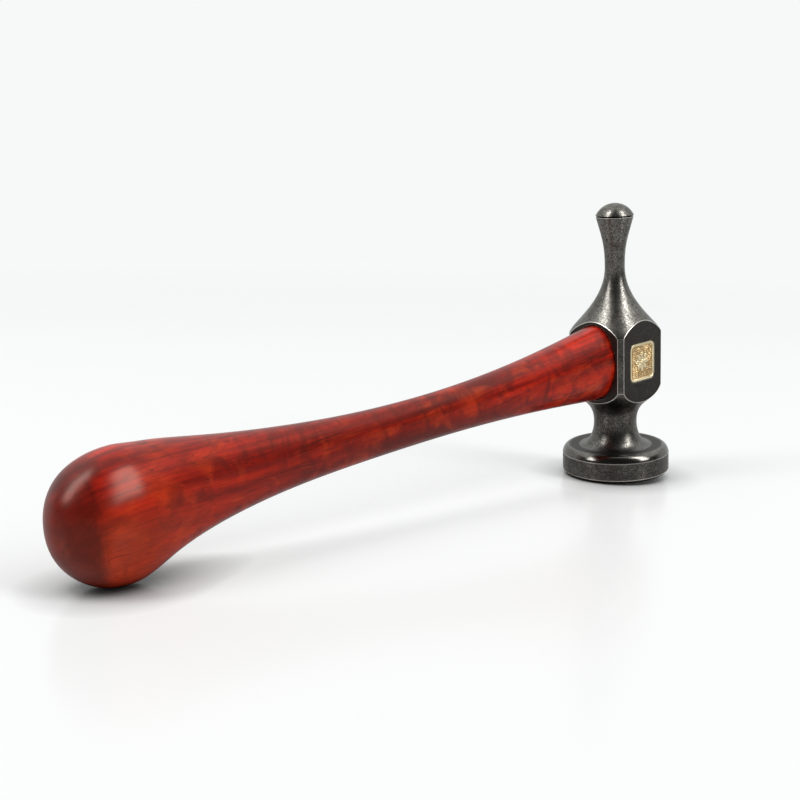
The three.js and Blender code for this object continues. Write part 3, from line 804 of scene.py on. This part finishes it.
wedge_shader = add(hornbeam, "ShaderNodeBsdfPrincipled", {
    "Base Color": wedge_colour, "Roughness": 0.6, "Normal": wedge_bump})
add(hornbeam, "ShaderNodeOutputMaterial", {"Surface": wedge_shader})
wedge_start = tenon_end - wedge_length
wedge_grid = wedge_rings(
    [(wedge_start, 0), (wedge_start, 1), (wedge_start + wedge_ring_step, 1), (half_flats, 1),
     (tenon_end - wedge_end_round, 1), (tenon_end, 0.98), (tenon_end, 0.5), (tenon_end, 0)],
    0, eye_half_height - tenon_gap)
wedge_mesh = closed_mesh("hardwood_wedge", wedge_grid)
wedge = make_piece("hardwood_wedge", wedge_mesh, hornbeam, "wooden_wedge")
cut_away(wedge, [closed_mesh("slot", slot_grid)])

# Ring wedge: a short steel tube with rounded rims, driven into the end of the tenon across the
# wooden wedge. Bright drawn steel, dulled by handling.
ring_round_size = 0.15
dull_patch_size = 0.4
drawn_steel = new_material("drawn_steel")
ring_place = add(drawn_steel, "ShaderNodeTexCoord", {}, "Object")
ring_noise = add(drawn_steel, "ShaderNodeTexNoise", {
    "Vector": ring_place, "Scale": 1 / (dull_patch_size * millimetre), "Detail": 3, "Roughness": 0.6})
ring_share = add(drawn_steel, "ShaderNodeMapRange", {
    "Value": ring_noise, "From Min": 0.35, "From Max": 0.65, "To Min": 0, "To Max": 1})
ring_colour = add(drawn_steel, "ShaderNodeMix", {
    0: ring_share, 6: linear("#7c7a75"), 7: linear("#a9a69f")}, 2, data_type="RGBA")
ring_rough = add(drawn_steel, "ShaderNodeMapRange", {
    "Value": ring_noise, "From Min": 0.3, "From Max": 0.7, "To Min": 0.4, "To Max": 0.28})
ring_shader = add(drawn_steel, "ShaderNodeBsdfPrincipled", {
    "Base Color": ring_colour, "Metallic": 1.0, "Roughness": ring_rough})
add(drawn_steel, "ShaderNodeOutputMaterial", {"Surface": ring_shader})
ring_middle = tenon_end - ring_sink - ring_length / 2
corner_places = [(1, 1), (-1, 1), (-1, -1), (1, -1)]
ring_profile = np.vstack([
    arc((ring_radius - ring_wall / 2 + out * (ring_wall / 2 - ring_round_size),
         ring_middle + end * (ring_length / 2 - ring_round_size)),
        (ring_round_size, ring_round_size), number * math.pi / 2, (number + 1) * math.pi / 2, steps=6)
    for number, (out, end) in enumerate(corner_places)])
ring_grid = ring_round(ring_profile, 96)
make_piece("steel_ring", closed_mesh("steel_ring", ring_grid), drawn_steel, "ring_wedge")

# Badge: a die-struck brass plate pressed into its pocket, with a raised rim, a beaded frame and a
# stippled field round a plain eight-petalled rosette. Polished, with a darker patina in the hollows.
rim_width = 0.38
bead_width = 0.5
bead_pitch = 0.62
bead_height = 0.11
field_depth = 0.26
stipple_size = 0.5
stipple_height = 0.07
rosette_radius = 3.1
rosette_height = 0.17
petal_round = 0.55
outline_width = 0.14
outline_depth = 0.1
boss_radius = 0.75
boss_height = 0.14
boss_groove_radius = 0.85
boss_groove_width = 0.16
frame_depth = 0.14
badge_edge_round = 0.12
least_corner_radius = 0.25
tarnish_size = 0.5
badge_headings = np.linspace(0, 2 * math.pi, 560, endpoint=False)
badge_back = badge_sink + badge_thickness


def badge_outline(inset):
    """Way from the badge's middle to a line that lies so far inside its edge."""
    corner = max(badge_corner_radius - inset, least_corner_radius)
    return square_reach(badge_half_side - inset, corner)(badge_headings)


def relief(across, up):
    """Height of the struck field at a place: fine stipple, as a sum of cosine waves of about one
    length with random directions and phases, and eight round petals, which stand inside the line
    radius * (0.55 + 0.45 |cos 4 turn|) with a groove along it, round a small boss in its own groove."""
    wave_count = 28
    random = np.random.default_rng(8)
    wave_turns = random.uniform(0, 2 * math.pi, wave_count)
    wave_lengths = stipple_size * random.uniform(0.8, 1.3, wave_count)
    phases = random.uniform(0, 2 * math.pi, wave_count)
    waves = np.array([np.cos(wave_turns), np.sin(wave_turns)]) * 2 * math.pi / wave_lengths
    stipple = np.cos(across[..., None] * waves[0] + up[..., None] * waves[1] + phases).sum(-1)
    stipple *= stipple_height / math.sqrt(wave_count / 2)
    way = np.hypot(across, up)
    turn = np.arctan2(up, across)
    petal_edge = rosette_radius * (0.55 + 0.45 * np.abs(np.cos(4 * turn)))
    inside = np.clip((petal_edge - way) / petal_round, 0, 1)
    petal = inside * (2 - inside) * rosette_height * np.abs(np.cos(4 * turn)) ** 0.5
    petal -= outline_depth * np.exp(-(((way - petal_edge - outline_width) / outline_width) ** 2))
    boss = boss_height * np.clip(1 - (way / boss_radius) ** 2, 0, 1) ** 0.5
    hollow = outline_depth * np.exp(-(((way - boss_groove_radius) / boss_groove_width) ** 2))
    plain = inside + np.clip(1 - 2 * way / (boss_radius + boss_groove_radius), 0, 1)
    return stipple * (1 - 0.75 * np.clip(plain, 0, 1)) + petal + boss - hollow


edge_lines = [(badge_edge_round, badge_back), (0, badge_back - badge_edge_round), (0, badge_sink + 0.5)]
for turn in np.linspace(0, math.pi / 2, 5):
    edge_lines.append((
        badge_edge_round * (1 - math.cos(turn)), badge_sink + badge_edge_round * (1 - math.sin(turn))))
edge_lines += [(rim_width - 0.1, badge_sink), (rim_width - 0.02, badge_sink + 0.03)]
badge_round = np.ones_like(badge_headings)
badge_ways = [0 * badge_round] + [badge_outline(inset) for inset, depth in edge_lines]
badge_depths = [badge_back * badge_round] + [depth * badge_round for inset, depth in edge_lines]

# Beads lie along the frame, counted by the length of the line that they lie on
bead_line = badge_outline(rim_width + bead_width / 2)
bead_points = np.stack([bead_line * np.cos(badge_headings), bead_line * np.sin(badge_headings)], axis=-1)
bead_steps = np.hypot(*(np.roll(bead_points, -1, axis=0) - bead_points).T)
bead_count = round(bead_steps.sum() / bead_pitch)
bead_turn = np.concatenate([[0], np.cumsum(bead_steps)[:-1]]) / bead_steps.sum() * bead_count * math.pi
for share in np.linspace(0, 1, 9):
    swell = np.sqrt(np.clip(1 - (2 * share - 1) ** 2, 0, 1)) * np.abs(np.sin(bead_turn)) ** 0.6
    floor_depth = badge_sink + frame_depth + (field_depth - frame_depth) * share
    badge_ways.append(badge_outline(rim_width + bead_width * share))
    badge_depths.append(floor_depth - bead_height * swell)
field_line = badge_outline(rim_width + bead_width + 0.05)
for share in np.linspace(1, 0, 46):
    way = field_line * share
    fade = np.clip((1 - share) / 0.04, 0, 1)
    badge_ways.append(way)
    badge_depths.append(
        badge_sink + field_depth - fade * relief(way * np.cos(badge_headings), way * np.sin(badge_headings)))
badge_ways, badge_depths = np.array(badge_ways), np.array(badge_depths)
badge_grid = np.stack([
    badge_ways * np.cos(badge_headings), badge_depths - half_flats,
    badge_height + badge_ways * np.sin(badge_headings)], axis=-1)
badge_rubbed = np.clip(1 - (badge_depths - badge_sink) / field_depth, 0, 1)


def struck_brass():
    """Brass, struck in a die and polished: pale gold where it is rubbed and brown in the hollows."""
    brass = new_material("struck_brass")
    rubbed = add(brass, "ShaderNodeAttribute", {}, "Fac", attribute_name="rubbed")
    place = add(brass, "ShaderNodeTexCoord", {}, "Object")
    tarnish = add(brass, "ShaderNodeTexNoise", {
        "Vector": place, "Scale": 1 / (tarnish_size * millimetre), "Detail": 3, "Roughness": 0.6})
    clean = add(brass, "ShaderNodeMath", {0: tarnish, 1: 0.5, 2: rubbed}, operation="MULTIPLY_ADD")
    share = add(brass, "ShaderNodeMapRange", {
        "Value": clean, "From Min": 0.2, "From Max": 0.75, "To Min": 0, "To Max": 1})
    colour = add(brass, "ShaderNodeMix", {
        0: share, 6: linear("#b48a4c"), 7: linear("#fff0c8")}, 2, data_type="RGBA")
    rough = add(brass, "ShaderNodeMapRange", {
        "Value": tarnish, "From Min": 0.3, "From Max": 0.7, "To Min": 0.34, "To Max": 0.46})
    shader = add(brass, "ShaderNodeBsdfPrincipled", {
        "Base Color": colour, "Metallic": 1.0, "Roughness": rough})
    add(brass, "ShaderNodeOutputMaterial", {"Surface": shader})
    return brass


badge_mesh = closed_mesh("brass_badge", badge_grid, marks=badge_rubbed, mark_names=["rubbed"])
make_piece("brass_badge", badge_mesh, struck_brass(), "badge")

# Floor and backdrop: a white acrylic sheet, which shows the hammer's shadow and a faint reflection,
# with a painted contact shadow close under it. Further off it turns into the white of the studio's
# wall, with no line between them. Sizes from here on are in metres.
floor_reach = 6
sheet_from, sheet_to = 0.35, 1.1
shadow_reach = 0.012
studio_white = linear("#f6f9f8")
floor_mesh = bpy.data.meshes.new("floor")
floor_mesh.from_pydata(
    [(-floor_reach, -floor_reach, 0), (floor_reach, -floor_reach, 0), (floor_reach, floor_reach, 0),
     (-floor_reach, floor_reach, 0)], [], [(0, 1, 2, 3)])
floor = bpy.data.objects.new("floor", floor_mesh)
bpy.context.scene.collection.objects.link(floor)
acrylic = new_material("white_acrylic")
floor_place = add(acrylic, "ShaderNodeTexCoord", {}, "Object")
floor_way = add(acrylic, "ShaderNodeVectorMath", {0: floor_place}, "Value", operation="LENGTH")
far = add(acrylic, "ShaderNodeMapRange", {
    "Value": floor_way, "From Min": sheet_from, "From Max": sheet_to, "To Min": 0, "To Max": 1},
    interpolation_type="SMOOTHSTEP")
camera_ray = add(acrylic, "ShaderNodeLightPath", {}, "Is Camera Ray")
glossy_ray = add(acrylic, "ShaderNodeLightPath", {}, "Is Glossy Ray")
seen_ray = add(acrylic, "ShaderNodeMath", {0: camera_ray, 1: glossy_ray}, operation="MAXIMUM")
far_seen = add(acrylic, "ShaderNodeMath", {0: far, 1: seen_ray}, operation="MULTIPLY")
# Painted contact shadow: where ambient occlusion finds the hammer within shadow_reach, the sheet's colour
# goes towards near black and the camera's lift fades.
open_share = add(acrylic, "ShaderNodeAmbientOcclusion", {"Distance": shadow_reach}, "AO", samples=8)
open_squared = add(acrylic, "ShaderNodeMath", {0: open_share, 1: 2.0}, operation="POWER")
clear_of_painted_shadow = add(acrylic, "ShaderNodeMapRange", {
    "Value": open_share, "From Min": 0.27, "From Max": 0.58, "To Min": 0, "To Max": 1})
painted_shadow_sheet_colour = add(acrylic, "ShaderNodeMix", {
    0: clear_of_painted_shadow, 6: linear("#2a2422"), 7: linear("#b6b6b6")}, 2, data_type="RGBA")
sheet = add(acrylic, "ShaderNodeBsdfPrincipled", {
    "Base Color": painted_shadow_sheet_colour, "Roughness": 0.22, "IOR": 1.3})
lift_share_with_painted_shadow = add(acrylic, "ShaderNodeMath", {0: open_squared, 1: 0.43}, operation="MULTIPLY")
lift_strength = add(acrylic, "ShaderNodeMath", {0: camera_ray, 1: lift_share_with_painted_shadow}, operation="MULTIPLY")
lift = add(acrylic, "ShaderNodeEmission", {"Color": studio_white, "Strength": lift_strength})
lifted = add(acrylic, "ShaderNodeAddShader", {0: sheet, 1: lift})
wall = add(acrylic, "ShaderNodeEmission", {"Color": studio_white, "Strength": 1.0})
acrylic_surface = add(acrylic, "ShaderNodeMixShader", {0: far_seen, 1: lifted, 2: wall})
add(acrylic, "ShaderNodeOutputMaterial", {"Surface": acrylic_surface})
floor_mesh.materials.append(acrylic)

# Studio: the white wall and ceiling behind the hammer, and the unlit room on the camera's side, as
# polished surfaces mirror them. Matt surfaces get the room's even light instead.
room_way = (-0.664, -0.728, 0.0)
world = bpy.data.worlds.new("studio")
world.use_nodes = True
world.node_tree.nodes.clear()
bpy.context.scene.world = world
way = add(world, "ShaderNodeTexCoord", {}, "Generated")
to_room = add(world, "ShaderNodeVectorMath", {0: way, 1: room_way}, "Value", operation="DOT_PRODUCT")
wall_strength = add(world, "ShaderNodeMapRange", {
    "Value": to_room, "From Min": -0.35, "From Max": 0.12, "To Min": 0.75, "To Max": 0.04},
    interpolation_type="SMOOTHSTEP")
height_of_way = add(world, "ShaderNodeSeparateXYZ", {0: way}, "Z")
overhead = add(world, "ShaderNodeMapRange", {
    "Value": height_of_way, "From Min": 0.4, "From Max": 0.65, "To Min": 0, "To Max": 1.1},
    interpolation_type="SMOOTHSTEP")
off_room = add(world, "ShaderNodeMapRange", {
    "Value": to_room, "From Min": 0.05, "From Max": 0.3, "To Min": 1, "To Max": 0},
    interpolation_type="SMOOTHSTEP")
ceiling = add(world, "ShaderNodeMath", {0: overhead, 1: off_room}, operation="MULTIPLY")
lit = add(world, "ShaderNodeMath", {0: wall_strength, 1: ceiling}, operation="MAXIMUM")
is_camera = add(world, "ShaderNodeLightPath", {}, "Is Camera Ray")
is_glossy = add(world, "ShaderNodeLightPath", {}, "Is Glossy Ray")
strength = add(world, "ShaderNodeMix", {0: is_camera, 2: lit, 3: 1.0}, 0)
seen = add(world, "ShaderNodeMath", {0: is_camera, 1: is_glossy}, operation="MAXIMUM")
room = add(world, "ShaderNodeBackground", {"Color": linear("#ffffff"), "Strength": 0.38})
backdrop = add(world, "ShaderNodeBackground", {"Color": studio_white, "Strength": strength})
studio = add(world, "ShaderNodeMixShader", {0: seen, 1: room, 2: backdrop})
add(world, "ShaderNodeOutputWorld", {"Surface": studio})

# Lamps: two tall soft boxes, one on each side of the camera and above it, turned to the hammer. They
# give the bulb, the peen and the foot's rim their bright spots.
lamp_target = np.array([0.06, 0.0, 0.04])
lamp_distance = 1.2
lamp_rise = math.radians(42)
lamp_width, lamp_length = 0.34, 1.1
for name, heading, watts in (
        ("left_softbox", math.radians(160.6), 9.0), ("right_softbox", math.radians(-74.4), 10.0)):
    lamp_data = bpy.data.lights.new(name, "AREA")
    lamp_data.shape = "RECTANGLE"
    lamp_data.size = lamp_width
    lamp_data.size_y = lamp_length
    lamp_data.energy = watts
    lamp = bpy.data.objects.new(name, lamp_data)
    level = math.cos(lamp_rise)
    away = np.array([math.cos(heading) * level, math.sin(heading) * level, math.sin(lamp_rise)])
    lamp.matrix_world = (
        Matrix.Translation((lamp_target + away * lamp_distance).tolist())
        @ Matrix.Rotation(heading + math.pi / 2, 4, "Z")
        @ Matrix.Rotation(math.pi / 2 - lamp_rise, 4, "X")
    )
    lamp.visible_camera = False
    bpy.context.scene.collection.objects.link(lamp)
